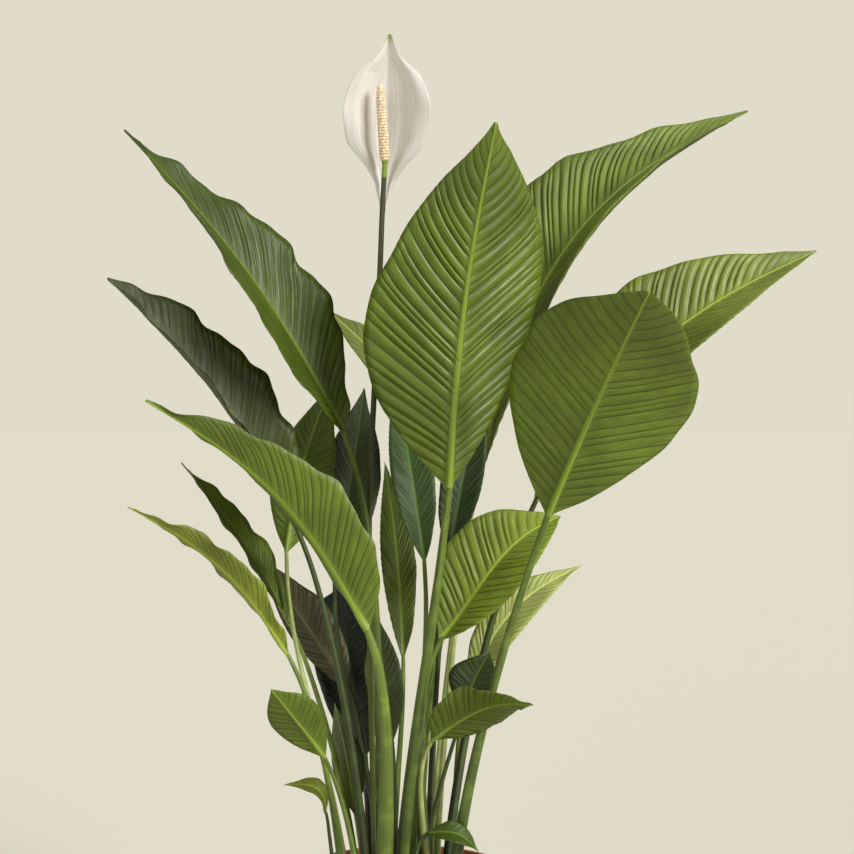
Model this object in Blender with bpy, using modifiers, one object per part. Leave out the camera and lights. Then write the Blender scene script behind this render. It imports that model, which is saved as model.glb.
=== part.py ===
"""A potted peace lily: a nursery pot of potting mix, arching leaves on long stalks, and one flower.

Metres, +Z up. The origin is the centre of the pot's flat underside, and the flower faces -Y.
Each leaf is two solids, a stalk and a blade, shaped from one line of the leaf plan.
"""
import math

import bpy
from mathutils import Vector

MM = 0.001

# ---- Driving dimensions, in millimetres ----

POT_HEIGHT = 150.0
POT_RIM_DIAMETER = 170.0
POT_BASE_DIAMETER = 118.0
POT_WALL = 2.2
POT_FLOOR = 3.0
COLLAR_HEIGHT = 24.0
COLLAR_OVERHANG = 3.0
DRAIN_HOLE_COUNT = 8
DRAIN_HOLE_DIAMETER = 9.0
DRAIN_CIRCLE_DIAMETER = 84.0
TURNED_STEPS = 64

SOIL_TOP = 132.0
FIT_GAP = 0.4           # between pieces that rest on each other

BLADE_THICKNESS = 1.0
BLADE_ROWS = 12         # stations along a blade
BLADE_COLUMNS = 4       # strips across a blade
NECK_PART = 0.03        # narrowest half width of a blade, as a part of its widest
EDGE_CURL = 1.2         # power that rounds a blade's cross-section
STALK_POINTS = 10
STALK_END_GAP = 1.6     # a stalk stops this far short of its blade
STALK_UPRIGHT = 2.0     # its first stretch stands square on the soil

SPADIX_DIAMETER = 8.6
SPADIX_LENGTH = 59.0
STIPE_DIAMETER = 4.4
FLOWER_STALK_DIAMETER = 4.0

LEAF_GREEN = (0.13, 0.22, 0.03)
STALK_GREEN = (0.17, 0.26, 0.05)

# ---- The leaf plan, in millimetres and degrees ----
# foot   where the stalk leaves the soil (x, y)
# neck   where the stalk meets the blade;  tip  the blade's far end
# width  across the widest part, at the part "widest" of the way from neck to tip
# sag    how far the midrib stands off the straight line from neck to tip, towards the upper face
# turn   the upper face's turn about the midrib: 0 faces the front, 180 shows the underside
# fold   how steeply both halves rise from the midrib
# girth  the stalk's diameters at the soil and at the neck

LEAVES = [
    dict(name="front_tall", foot=(-5, -30), neck=(32, -62, 452), tip=(65, -118, 713), width=144, sag=10,
         bow=3, turn=196, fold=24, widest=0.5, skew=-0.1, point=1.05, girth=(11, 5)),
    dict(name="right_round", foot=(35, -26), neck=(106, -60, 432), tip=(164, -190, 587), width=138, sag=14,
         turn=180, fold=15, widest=0.52, point=0.8, girth=(9, 4.6)),
    dict(name="upper_right", foot=(22, 58), neck=(57, 80, 451), tip=(291, 130, 768), width=126, sag=71,
         turn=-52, fold=30, widest=0.5, girth=(9, 4.2)),
    dict(name="far_right", foot=(30, 16), neck=(103, 40, 438), tip=(326, 26, 637), width=104, sag=45,
         turn=-42, fold=28, widest=0.55, girth=(8, 4)),
    dict(name="upper_left", foot=(-19, -12), neck=(-47, -20, 493), tip=(-209, -60, 718), width=88, sag=18,
         turn=44, twist=20, fold=25, widest=0.38, point=1.35, girth=(8, 4)),
    dict(name="dark_left", foot=(-29, -20), neck=(-83, -26, 421), tip=(-222, -60, 608), width=74, sag=16,
         turn=58, fold=40, widest=0.4, point=0.7, girth=(7, 3.6)),
    dict(name="front_left", foot=(-16, -44), neck=(-27, -78, 349), tip=(-183, -120, 516), width=84, sag=24,
         turn=130, fold=30, widest=0.3, swell=0.6, girth=(14, 5)),
    dict(name="narrow_left", foot=(-36, -12), neck=(-89, -5, 343), tip=(-171, -30, 470), width=40, sag=6,
         turn=70, fold=15, widest=0.42, girth=(6, 3)),
    dict(name="lowest_left", foot=(-46, -40), neck=(-87, -52, 326), tip=(-202, -85, 439), width=34, sag=16,
         turn=130, fold=20, widest=0.42, girth=(6, 3)),
    dict(name="inner_left", foot=(-30, 18), neck=(-45, 26, 288), tip=(-120, 40, 393), width=43, sag=3,
         turn=165, fold=20, girth=(6, 3)),
    dict(name="mid_left", foot=(-44, -28), neck=(-93, -6, 400), tip=(-59, 16, 531), width=51, sag=2,
         bow=6, turn=170, fold=15, girth=(5, 3)),
    dict(name="dark_middle", foot=(-17, 14), neck=(-57, 18, 374), tip=(-36, 80, 529), width=49, sag=10,
         turn=5, fold=18, girth=(6, 3.2)),
    dict(name="back_left", foot=(-3, 52), neck=(25, 92, 499), tip=(-68, 116, 596), width=39, sag=7,
         turn=30, fold=15, girth=(7, 3)),
    dict(name="centre_left", foot=(4, 14), neck=(14, 22, 390), tip=(-11, 70, 532), width=37, sag=10,
         turn=10, fold=20, girth=(6, 3.2)),
    dict(name="centre_right", foot=(17, 26), neck=(33, 34, 391), tip=(62, 58, 531), width=36, sag=10,
         turn=-10, fold=20, girth=(6, 3.2)),
    dict(name="mid_right", foot=(14, -10), neck=(26, -6, 332), tip=(122, 24, 426), width=81, sag=20,
         peak=0.62, turn=-38, fold=21, widest=0.5, point=0.9, girth=(10, 4)),
    dict(name="pale_right", foot=(38, 42), neck=(49, 60, 281), tip=(145, 88, 382), width=41, sag=18,
         bow=-10, turn=-34, fold=10, girth=(6, 3)),
    dict(name="small_right", foot=(10, 2), neck=(44, 10, 273), tip=(66, 26, 318), width=40, sag=8,
         turn=-20, fold=10, girth=(5, 2.6)),
    dict(name="low_right", foot=(18, -22), neck=(20, -42, 261), tip=(92, -105, 298), width=49, sag=13,
         turn=214, fold=10, widest=0.34, swell=0.6, girth=(6, 3)),
    dict(name="rim_right", foot=(5, -44), neck=(17, -34, 189), tip=(55, -34, 175), width=20, sag=11,
         turn=-50, fold=10, girth=(4, 2.4)),
    dict(name="low_left", foot=(-33, -52), neck=(-60, -62, 252), tip=(-96, -105, 309), width=38, sag=2,
         turn=176, fold=14, widest=0.55, girth=(5, 2.8)),
    dict(name="rim_left", foot=(-52, -46), neck=(-59, -52, 208), tip=(-90, -60, 231), width=18, sag=15,
         turn=60, fold=10, girth=(4, 2.2)),
    dict(name="shaded_left", foot=(-25, 28), neck=(-36, 36, 227), tip=(-59, 100, 362), width=61, sag=16,
         turn=10, fold=15, widest=0.55, point=0.5, girth=(6, 3)),
    dict(name="shaded_middle", foot=(-8, 0), neck=(-11, 2, 251), tip=(-25, 40, 348), width=30, sag=6,
         turn=0, fold=15, girth=(5, 2.8)),
    dict(name="back_middle", foot=(-12, 36), neck=(-3, 48, 309), tip=(-20, 120, 467), width=30, sag=12,
         turn=15, fold=15, girth=(6, 3)),
    dict(name="young_left", foot=(-32, 4), neck=(-40, 8, 193), tip=(-57, 12, 280), width=26, sag=5,
         turn=20, fold=10, girth=(5, 2.6)),
    dict(name="back_arching", foot=(9, 62), neck=(34, 104, 462), tip=(42, 250, 587), width=82, sag=32,
         turn=-4, fold=16, girth=(7, 3.6)),
]

SPATHE = dict(name="spathe", neck=(-18.4, 4, 665), tip=(-12.7, -8, 802), width=82, sag=-9,
              turn=0, fold=34, widest=0.56, swell=2.0, point=1.1)

FLOWER_STALK_ROUTE = [(-24, -1, SOIL_TOP + FIT_GAP), (-26, 0, 220), (-28.5, 0, 330), (-29, 0, 437),
                      (-25, 0, 527), (-21, 0, 612), (-19, 0, 662), (-17.5, -1, 690)]
STIPE_FOOT = (-17.4, -1.6, 690.8)
SPADIX_FOOT = (-16.8, -4, 704)
SPADIX_TIP = (-20.4, -11, 763)


# ---- Scene ----

for old in list(bpy.data.objects):
    bpy.data.objects.remove(old, do_unlink=True)

plant = bpy.data.collections.new("potted_peace_lily")
cutters = bpy.data.collections.new("cutters")
bpy.context.scene.collection.children.link(plant)
bpy.context.scene.collection.children.link(cutters)


def material(name, colour, roughness):
    """A plain Principled material."""
    found = bpy.data.materials.get(name)
    if found:
        return found
    made = bpy.data.materials.new(name)
    made.use_nodes = True
    shader = made.node_tree.nodes["Principled BSDF"]
    shader.inputs["Base Color"].default_value = (*colour, 1.0)
    shader.inputs["Roughness"].default_value = roughness
    shader.inputs["Metallic"].default_value = 0.0
    return made


def keep(piece, name, collection, finish=None):
    """Name a piece, give it its material, and move it to its collection."""
    piece.name = name
    piece.data.name = name
    for other in list(piece.users_collection):
        other.objects.unlink(piece)
    collection.objects.link(piece)
    if finish:
        piece.data.materials.clear()
        piece.data.materials.append(finish)
    return piece


# ---- Pot and soil ----

def turned(name, profile_mm, finish):
    """Turn a profile of (radius, height) about Z; it starts and ends on the axis."""
    mesh = bpy.data.meshes.new(name)
    points = [(radius * MM, 0.0, height * MM) for radius, height in profile_mm]
    mesh.from_pydata(points, [(i, i + 1) for i in range(len(points) - 1)], [])
    piece = bpy.data.objects.new(name, mesh)
    plant.objects.link(piece)
    screw = piece.modifiers.new("turn", "SCREW")
    screw.axis = "Z"
    screw.steps = TURNED_STEPS
    screw.render_steps = TURNED_STEPS
    screw.use_merge_vertices = True
    screw.merge_threshold = 0.00001
    piece.data.materials.append(finish)
    return piece


def wall_radius(height):
    """The pot's outer radius below its collar, at a height."""
    base = POT_BASE_DIAMETER / 2
    under_collar = POT_RIM_DIAMETER / 2 - COLLAR_OVERHANG
    return base + (under_collar - base) * height / (POT_HEIGHT - COLLAR_HEIGHT)


def inside_radius(height):
    """The pot's inner radius at a height; the wall runs straight inside the collar."""
    straight_top = POT_HEIGHT - COLLAR_HEIGHT
    return wall_radius(min(height, straight_top)) - POT_WALL + 0.04 * max(height - straight_top, 0)


def make_pot():
    """A thin nursery pot with an overhanging collar and a ring of drain holes."""
    rim = POT_RIM_DIAMETER / 2
    base = POT_BASE_DIAMETER / 2
    collar_foot = POT_HEIGHT - COLLAR_HEIGHT
    mouth = inside_radius(POT_HEIGHT)
    profile = [
        (0, POT_FLOOR),
        (inside_radius(POT_FLOOR) - 2, POT_FLOOR),
        (inside_radius(POT_FLOOR + 3), POT_FLOOR + 3),
        (inside_radius(collar_foot), collar_foot),
        (mouth, POT_HEIGHT - 1.2),
        (mouth + 1.0, POT_HEIGHT),
        (rim - 1.2, POT_HEIGHT),
        (rim, POT_HEIGHT - 1.6),
        (rim - 0.8, collar_foot + 1.0),
        (rim - 1.6, collar_foot),
        (wall_radius(collar_foot) - 0.4, collar_foot),
        (base + 0.8, 2.5),
        (base - 1.5, 0),
        (0, 0),
    ]
    pot = turned("pot", profile, material("terracotta_plastic", (0.32, 0.12, 0.06), 0.45))
    for number in range(DRAIN_HOLE_COUNT):
        angle = 2 * math.pi * number / DRAIN_HOLE_COUNT
        reach = DRAIN_CIRCLE_DIAMETER / 2 * MM
        bpy.ops.mesh.primitive_cylinder_add(
            vertices=24, radius=DRAIN_HOLE_DIAMETER / 2 * MM, depth=4 * POT_FLOOR * MM,
            location=(reach * math.cos(angle), reach * math.sin(angle), 0))
        cutter = keep(bpy.context.object, f"drain_cutter_{number + 1}", cutters)
        cutter.hide_render = True
        cutter.display_type = "WIRE"
        cut = pot.modifiers.new(f"drain_{number + 1}", "BOOLEAN")
        cut.operation = "DIFFERENCE"
        cut.solver = "EXACT"
        cut.object = cutter


def make_soil():
    """Potting mix and root ball, filling the pot to a little under its rim."""
    foot = POT_FLOOR + FIT_GAP
    profile = [
        (0, SOIL_TOP),
        (inside_radius(SOIL_TOP) - 3, SOIL_TOP),
        (inside_radius(SOIL_TOP) - FIT_GAP, SOIL_TOP - 2),
        (inside_radius(POT_HEIGHT - COLLAR_HEIGHT) - FIT_GAP, POT_HEIGHT - COLLAR_HEIGHT),
        (inside_radius(POT_FLOOR + 4) - FIT_GAP, POT_FLOOR + 4),
        (inside_radius(POT_FLOOR) - 3, foot),
        (0, foot),
    ]
    turned("soil", profile, material("potting_mix", (0.035, 0.022, 0.014), 0.95))


# ---- Leaves ----

def half_width(part, widest, swell, point):
    """Half width at a part of the way along a blade, where 1 is the widest."""
    if part < widest:
        return max(math.sin(math.pi / 2 * part / widest) ** swell, NECK_PART)
    beyond = (part - widest) / (1 - widest)
    return max(math.cos(math.pi / 2 * beyond) ** point, NECK_PART)


def blade_frame(leaf, part=0.0):
    """Unit vectors of a blade: along it, out of its upper face, and across it."""
    neck = Vector(leaf["neck"])
    along = (Vector(leaf["tip"]) - neck).normalized()
    front = Vector((0, -1, 0))
    front = (front - along * front.dot(along)).normalized()
    turn = math.radians(leaf["turn"] + leaf.get("twist", 0) * part)
    up = math.cos(turn) * front + math.sin(turn) * along.cross(front)
    return along, up, along.cross(up)


def midrib(leaf, part):
    """A point on a blade's midrib, from its neck at 0 to its tip at 1."""
    neck = Vector(leaf["neck"])
    along, up, across = blade_frame(leaf)
    arch = math.sin(math.pi * part ** (math.log(0.5) / math.log(leaf.get("peak", 0.5))))
    offset = (up * leaf["sag"] + across * leaf.get("bow", 0)) * arch
    return neck + (Vector(leaf["tip"]) - neck) * part + offset


def blade_point(leaf, part, side):
    """A point on a blade; side runs from -1 at one edge to 1 at the other."""
    along, up, across = blade_frame(leaf, part)
    widest = leaf.get("widest", 0.45) + leaf.get("skew", 0) * side
    reach = leaf["width"] / 2 * half_width(part, widest, leaf.get("swell", 0.8), leaf.get("point", 1.15))
    fold = math.radians(leaf["fold"])
    offset = across * side * math.cos(fold) + up * abs(side) ** EDGE_CURL * math.sin(fold)
    return midrib(leaf, part) + offset * reach


def make_blade(name, leaf, finish):
    """A blade: a flat grid laid along the midrib, thickened."""
    bpy.ops.mesh.primitive_grid_add(x_subdivisions=BLADE_COLUMNS, y_subdivisions=BLADE_ROWS, size=1)
    blade = keep(bpy.context.object, name, plant, finish)
    for vertex in blade.data.vertices:
        vertex.co = blade_point(leaf, vertex.co.y + 0.5, 2 * vertex.co.x) * MM
    solidify = blade.modifiers.new("thickness", "SOLIDIFY")
    solidify.thickness = BLADE_THICKNESS * MM
    solidify.offset = 0


def make_tube(name, points_mm, diameters_mm, finish):
    """A tapering tube with filled ends through a list of points."""
    curve = bpy.data.curves.new(name, "CURVE")
    curve.dimensions = "3D"
    curve.bevel_depth = MM
    curve.bevel_resolution = 2
    curve.use_fill_caps = True
    spline = curve.splines.new("POLY")
    spline.points.add(len(points_mm) - 1)
    for target, place, diameter in zip(spline.points, points_mm, diameters_mm):
        target.co = (*(Vector(place) * MM), 1)
        target.radius = diameter / 2
    tube = bpy.data.objects.new(name, curve)
    plant.objects.link(tube)
    curve.materials.append(finish)


def make_stalk(leaf, finish):
    """A leaf's stalk: it leaves the soil steeply and turns into the blade's midrib."""
    foot = Vector((*leaf["foot"], SOIL_TOP + FIT_GAP))
    start = foot + Vector((0, 0, STALK_UPRIGHT))
    neck = Vector(leaf["neck"])
    length = (neck - start).length
    lean = (neck - start).normalized()
    rise = (Vector((0, 0, 0.6)) + lean * 0.4).normalized()
    leave = ((midrib(leaf, 1 / BLADE_ROWS) - neck).normalized() * 0.6 + lean * 0.4).normalized()
    end = neck - leave * STALK_END_GAP
    low_pull = start + rise * length * 0.35
    high_pull = neck - leave * length * 0.3
    points = [foot]
    diameters = [leaf["girth"][0]]
    for step in range(STALK_POINTS):
        part = step / (STALK_POINTS - 1)
        rest = 1 - part
        points.append(rest ** 3 * start + 3 * rest ** 2 * part * low_pull
                      + 3 * rest * part ** 2 * high_pull + part ** 3 * end)
        diameters.append(leaf["girth"][0] * rest + leaf["girth"][1] * part)
    make_tube("stalk_" + leaf["name"], points, diameters, finish)


# ---- Flower ----

def smooth_route(points, steps):
    """Points along a smooth curve through a few given ones."""
    ends = [points[0]] + list(points) + [points[-1]]
    route = []
    for index in range(1, len(ends) - 2):
        before, start, stop, after = (Vector(ends[index + k]) for k in (-1, 0, 1, 2))
        for step in range(steps):
            part = step / steps
            route.append(0.5 * (2 * start + (stop - before) * part
                                + (2 * before - 5 * start + 4 * stop - after) * part ** 2
                                + (3 * start - before - 3 * stop + after) * part ** 3))
    return route + [Vector(points[-1])]


def make_flower():
    """The flower: a stalk, the white spathe behind, and the spadix on its short stipe."""
    green = material("flower_stalk_green", (0.14, 0.19, 0.04), 0.5)
    route = smooth_route(FLOWER_STALK_ROUTE, 3)
    taper = [FLOWER_STALK_DIAMETER * (1.25 - 0.25 * k / (len(route) - 1)) for k in range(len(route))]
    make_tube("flower_stalk", route, taper, green)
    make_blade("spathe", SPATHE, material("spathe_white", (0.68, 0.62, 0.52), 0.5))

    foot = Vector(SPADIX_FOOT)
    axis = Vector(SPADIX_TIP) - foot
    points = [Vector(STIPE_FOOT), foot - axis * 0.03]
    diameters = [STIPE_DIAMETER, STIPE_DIAMETER]
    swelling = [(0.0, 0.8), (0.06, 1.0), (0.4, 1.0), (0.75, 0.92), (0.9, 0.8), (0.97, 0.55), (1.0, 0.25)]
    for part, share in swelling:
        points.append(foot + axis.normalized() * SPADIX_LENGTH * part)
        diameters.append(SPADIX_DIAMETER * share)
    make_tube("spadix", points, diameters, material("spadix_cream", (0.66, 0.50, 0.33), 0.7))


make_pot()
make_soil()
blade_green = material("leaf_green", LEAF_GREEN, 0.35)
stalk_green = material("stalk_green", STALK_GREEN, 0.45)
for plan in LEAVES:
    make_stalk(plan, stalk_green)
    make_blade("leaf_" + plan["name"], plan, blade_green)
make_flower()
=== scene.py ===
"""The looks of a potted peace lily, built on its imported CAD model."""
import math
import random

import bpy
import numpy as np
from mathutils import Matrix, Vector, noise


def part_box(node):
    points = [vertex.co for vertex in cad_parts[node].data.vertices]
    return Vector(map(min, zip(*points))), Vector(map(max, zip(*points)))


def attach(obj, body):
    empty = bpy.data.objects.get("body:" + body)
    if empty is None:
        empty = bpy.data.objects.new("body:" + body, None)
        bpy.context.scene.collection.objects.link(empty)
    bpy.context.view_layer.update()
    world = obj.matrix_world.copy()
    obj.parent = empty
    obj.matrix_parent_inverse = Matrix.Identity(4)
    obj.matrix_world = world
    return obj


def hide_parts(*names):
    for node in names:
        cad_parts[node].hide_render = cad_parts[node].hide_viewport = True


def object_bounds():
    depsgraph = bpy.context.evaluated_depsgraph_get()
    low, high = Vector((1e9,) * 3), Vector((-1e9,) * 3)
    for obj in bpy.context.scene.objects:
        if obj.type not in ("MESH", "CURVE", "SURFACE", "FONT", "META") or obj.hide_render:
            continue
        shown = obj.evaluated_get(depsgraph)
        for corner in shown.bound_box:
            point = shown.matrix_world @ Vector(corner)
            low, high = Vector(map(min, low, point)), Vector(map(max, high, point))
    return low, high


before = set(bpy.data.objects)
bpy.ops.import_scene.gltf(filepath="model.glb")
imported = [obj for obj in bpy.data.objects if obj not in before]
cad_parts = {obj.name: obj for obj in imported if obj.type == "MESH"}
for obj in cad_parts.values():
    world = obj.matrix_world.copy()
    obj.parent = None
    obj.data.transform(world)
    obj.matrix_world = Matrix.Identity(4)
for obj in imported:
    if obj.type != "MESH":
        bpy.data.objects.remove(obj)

cad_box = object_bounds()


# ---- Pot ----
# A moulded nursery pot of satin terracotta-coloured plastic, with a collar round its mouth and drain
# holes in its floor. Its wall is drawn up ring by ring from a circle, as on a lathe, and then pierced.

pot_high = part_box("pot")[1]
pot_height = pot_high.z
rim_radius = pot_high.x
collar_height = 0.024
pot_wall = 0.0022
pot_floor = 0.003
base_radius = 0.059
drain_radius = 0.0045
drain_reach = 0.042
drain_count = 8
pot_sides = 128


def start_clean():
    """Leave edit mode with nothing selected."""
    if bpy.context.object and bpy.context.object.mode != "OBJECT":
        bpy.ops.object.mode_set(mode="OBJECT")
    bpy.ops.object.select_all(action="DESELECT")


def linear(red, green, blue):
    """A colour as a screen shows it, from 0 to 255, in the shader's own units."""
    shares = [value / 255 for value in (red, green, blue)]
    return (*(((v + 0.055) / 1.055) ** 2.4 if v > 0.04 else v / 12.92 for v in shares), 1.0)


def settle(piece, name, slot, *nodes):
    """Fix a piece in place, name it, and let it stand for its CAD nodes."""
    start_clean()
    piece.select_set(True)
    bpy.context.view_layer.objects.active = piece
    bpy.ops.object.transform_apply(location=True, rotation=True, scale=True)
    piece.name = name
    piece.data.name = name
    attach(piece, "root")
    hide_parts(*nodes)
    piece.select_set(False)
    return piece


def draw_up(rings, around):
    """A surface of revolution, from a circle drawn through rings of (radius, height)."""
    start_clean()
    radius, height = rings[0]
    bpy.ops.mesh.primitive_circle_add(vertices=around, radius=radius, location=(0, 0, height))
    turned = bpy.context.object
    bpy.ops.object.mode_set(mode="EDIT")
    bpy.ops.mesh.select_all(action="SELECT")
    bpy.ops.mesh.edge_face_add()
    bpy.ops.mesh.select_all(action="SELECT")
    for next_radius, next_height in rings[1:]:
        bpy.ops.mesh.extrude_edges_move(TRANSFORM_OT_translate={"value": (0, 0, next_height - height)})
        share = next_radius / radius
        bpy.ops.transform.resize(value=(share, share, 1), center_override=(0, 0, next_height))
        radius, height = next_radius, next_height
    bpy.ops.mesh.edge_face_add()
    bpy.ops.mesh.select_all(action="SELECT")
    bpy.ops.mesh.normals_make_consistent(inside=False)
    bpy.ops.object.mode_set(mode="OBJECT")
    return turned


def shader_of(name, colour, roughness):
    """A new material with its node tree and its Principled shader."""
    made = bpy.data.materials.new(name)
    made.use_nodes = True
    shader = made.node_tree.nodes["Principled BSDF"]
    shader.inputs["Base Color"].default_value = colour
    shader.inputs["Roughness"].default_value = roughness
    return made, made.node_tree, shader


def add_node(tree, kind, settings=None, **inputs):
    """A node with its settings, and with its input sockets linked or set by name or number."""
    node = tree.nodes.new(kind)
    for setting, value in (settings or {}).items():
        setattr(node, setting, value)
    for key, value in inputs.items():
        socket = node.inputs[int(key[1:]) if key[0] == "i" and key[1:].isdigit() else key.replace("_", " ")]
        if isinstance(value, bpy.types.NodeSocket):
            tree.links.new(value, socket)
        else:
            socket.default_value = value
    return node


def group_socket(tree, name, direction, value=None):
    """A named input or output for a number on a shader node group."""
    socket = tree.interface.new_socket(name=name, in_out=direction, socket_type="NodeSocketFloat")
    if value is not None:
        socket.default_value = value


def build_mottle():
    """Slow blotches and fine grain in Object coordinates, both about 0.5."""
    tree = bpy.data.node_groups.new("mottle", "ShaderNodeTree")
    group_socket(tree, "Blotch Size", "INPUT", value=40.0)
    group_socket(tree, "Grain Size", "INPUT", value=900.0)
    group_socket(tree, "Blotch", "OUTPUT")
    group_socket(tree, "Grain", "OUTPUT")
    taken = add_node(tree, "NodeGroupInput")
    place = add_node(tree, "ShaderNodeTexCoord").outputs["Object"]
    blotch = add_node(tree, "ShaderNodeTexNoise", Vector=place, Scale=taken.outputs["Blotch Size"],
                      Detail=3.0)
    grain = add_node(tree, "ShaderNodeTexNoise", Vector=place, Scale=taken.outputs["Grain Size"],
                     Detail=2.0)
    add_node(tree, "NodeGroupOutput", Blotch=blotch.outputs["Fac"], Grain=grain.outputs["Fac"])
    return tree


mottle_group = build_mottle()


def add_mottle(tree, blotch_size, grain_size):
    """The mottle group, placed in a material."""
    node = add_node(tree, "ShaderNodeGroup", {"node_tree": mottle_group})
    node.inputs["Blotch Size"].default_value = blotch_size
    node.inputs["Grain Size"].default_value = grain_size
    return node


def mix_colours(tree, share, first, second):
    """A colour between two, by a share that changes over the surface."""
    node = add_node(tree, "ShaderNodeMix", {"data_type": "RGBA"})
    for socket, value in ((node.inputs[0], share), (node.inputs[6], first), (node.inputs[7], second)):
        if isinstance(value, bpy.types.NodeSocket):
            tree.links.new(value, socket)
        else:
            socket.default_value = value
    return node.outputs[2]


def spread(tree, value, low, high, to_low, to_high):
    """A value moved from one range to another."""
    node = add_node(tree, "ShaderNodeMapRange", {"interpolation_type": "SMOOTHSTEP"}, Value=value)
    for socket, number in zip(("From Min", "From Max", "To Min", "To Max"), (low, high, to_low, to_high)):
        node.inputs[socket].default_value = number
    return node.outputs["Result"]


def pot_material():
    """Terracotta-coloured plastic: a little clouded in tint and in shine, with a fine moulded grain."""
    made, tree, shader = shader_of("terracotta_plastic", linear(158, 84, 52), 0.42)
    mottle = add_mottle(tree, 26.0, 1400.0)
    clouded = mix_colours(tree, spread(tree, mottle.outputs["Blotch"], 0.35, 0.68, 0, 1),
                          linear(146, 78, 46), linear(156, 87, 53))
    tree.links.new(clouded, shader.inputs["Base Color"])
    tree.links.new(spread(tree, mottle.outputs["Blotch"], 0.3, 0.7, 0.36, 0.52), shader.inputs["Roughness"])
    bump = add_node(tree, "ShaderNodeBump", Height=mottle.outputs["Grain"], Strength=0.25, Distance=0.0004)
    tree.links.new(bump.outputs["Normal"], shader.inputs["Normal"])
    return made


collar_foot = pot_height - collar_height
under_collar = rim_radius - 0.003
mouth_radius = under_collar - pot_wall + 0.001
pot_rings = [
    (base_radius - 0.002, 0.0), (base_radius, 0.0008), (base_radius + 0.001, 0.003),
    (under_collar - 0.0035, collar_foot - 0.006), (under_collar - 0.0006, collar_foot - 0.0002),
    (rim_radius - 0.0014, collar_foot), (rim_radius - 0.0008, collar_foot + 0.0008),
    (rim_radius - 0.0002, pot_height - 0.003), (rim_radius, pot_height - 0.0018),
    (rim_radius - 0.0004, pot_height - 0.0006), (rim_radius - 0.0014, pot_height),
    (mouth_radius + 0.0012, pot_height), (mouth_radius + 0.0003, pot_height - 0.0005),
    (mouth_radius, pot_height - 0.0016), (under_collar - pot_wall, collar_foot),
    (base_radius - pot_wall + 0.001, pot_floor + 0.004), (base_radius - pot_wall - 0.003, pot_floor),
]
pot = draw_up(pot_rings, pot_sides)
start_clean()
for number in range(drain_count):
    angle = math.radians(360 / drain_count * number)
    hole_place = (drain_reach * math.cos(angle), drain_reach * math.sin(angle), 0)
    bpy.ops.mesh.primitive_cylinder_add(vertices=32, radius=drain_radius, depth=0.02, location=hole_place)
    driller = bpy.context.object
    drill = pot.modifiers.new("drain_hole", "BOOLEAN")
    drill.object = driller
    start_clean()
    bpy.context.view_layer.objects.active = pot
    bpy.ops.object.modifier_apply(modifier=drill.name)
    bpy.data.objects.remove(driller)
pot.data.materials.append(pot_material())
settle(pot, "nursery_pot", "terracotta_plastic", "pot")
pot.select_set(True)
bpy.ops.object.shade_smooth_by_angle(angle=math.radians(32))


# ---- Potting mix ----
# Damp peat and bark, pressed down by watering, with loose crumbs lying on it. The bed is a disc of
# rings, roughened in code and drawn down into the pot. Each crumb is a small broken lump.

soil_low, soil_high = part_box("soil")
soil_top = soil_high.z
soil_radius = soil_high.x
crumb_count = 420
sunk = 0.0025                # how far the bed lies below the top of its CAD node
bed_sides = 150
ring_count = 46
chance = random.Random(7)


def soil_material(name, dark, light):
    """Crumbly brown matter: dark and light grains, dull, with a rough bump."""
    made, tree, shader = shader_of(name, linear(*dark), 0.95)
    mottle = add_mottle(tree, 160.0, 700.0)
    grains = mix_colours(tree, spread(tree, mottle.outputs["Grain"], 0.45, 0.7, 0, 1),
                         linear(*dark), linear(*light))
    damp = mix_colours(tree, spread(tree, mottle.outputs["Blotch"], 0.4, 0.65, 0, 0.6),
                       grains, linear(*dark))
    tree.links.new(damp, shader.inputs["Base Color"])
    tree.links.new(spread(tree, mottle.outputs["Blotch"], 0.3, 0.7, 0.7, 1.0), shader.inputs["Roughness"])
    bump = add_node(tree, "ShaderNodeBump", Height=mottle.outputs["Grain"], Strength=0.8, Distance=0.0015)
    tree.links.new(bump.outputs["Normal"], shader.inputs["Normal"])
    return made


bed_rings = [(base_radius - 0.008, soil_low.z), (base_radius - 0.004, soil_low.z + 0.004),
             (soil_radius - 0.003, soil_top - 0.012)]
bed_rings += [(soil_radius * (1 - k / ring_count), soil_top - sunk) for k in range(ring_count)]
bed = draw_up(bed_rings, bed_sides)
for vertex in bed.data.vertices:
    reach = math.hypot(vertex.co.x, vertex.co.y)
    if vertex.co.z > soil_top - 0.02 - bed.location.z and reach < soil_radius * 1.001:
        lumps = noise.fractal(Vector((vertex.co.x, vertex.co.y, 0.3)) * 90, 0.8, 2.2, 4)
        vertex.co.z += 0.0022 * max(min(lumps, 1.1), -1.2) * min((soil_radius - reach) / 0.004, 1)
bed.data.materials.append(soil_material("potting_mix", (44, 31, 22), (92, 68, 48)))
settle(bed, "potting_mix_bed", "potting_mix", "soil")
bpy.context.view_layer.objects.active = bed
bed.select_set(True)
bpy.ops.object.shade_smooth()

crumbs = []
for number in range(crumb_count):
    start_clean()
    reach = (soil_radius - 0.004) * math.sqrt(chance.random())
    angle = chance.uniform(0, 2 * math.pi)
    size = chance.uniform(0.0008, 0.0024)
    crumb_place = (reach * math.cos(angle), reach * math.sin(angle), soil_top - 0.0022 + size * 0.3)
    bpy.ops.mesh.primitive_ico_sphere_add(subdivisions=1, radius=size, location=crumb_place)
    crumb = bpy.context.object
    crumb.scale = (chance.uniform(0.7, 1.8), chance.uniform(0.6, 1.1), chance.uniform(0.35, 0.8))
    crumb.rotation_euler = (chance.uniform(-0.5, 0.5), chance.uniform(-0.5, 0.5), chance.uniform(0, 6.28))
    for vertex in crumb.data.vertices:
        vertex.co *= chance.uniform(0.75, 1.1)
    crumbs.append(crumb)
start_clean()
for crumb in crumbs:
    crumb.select_set(True)
bpy.context.view_layer.objects.active = crumbs[0]
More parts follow.
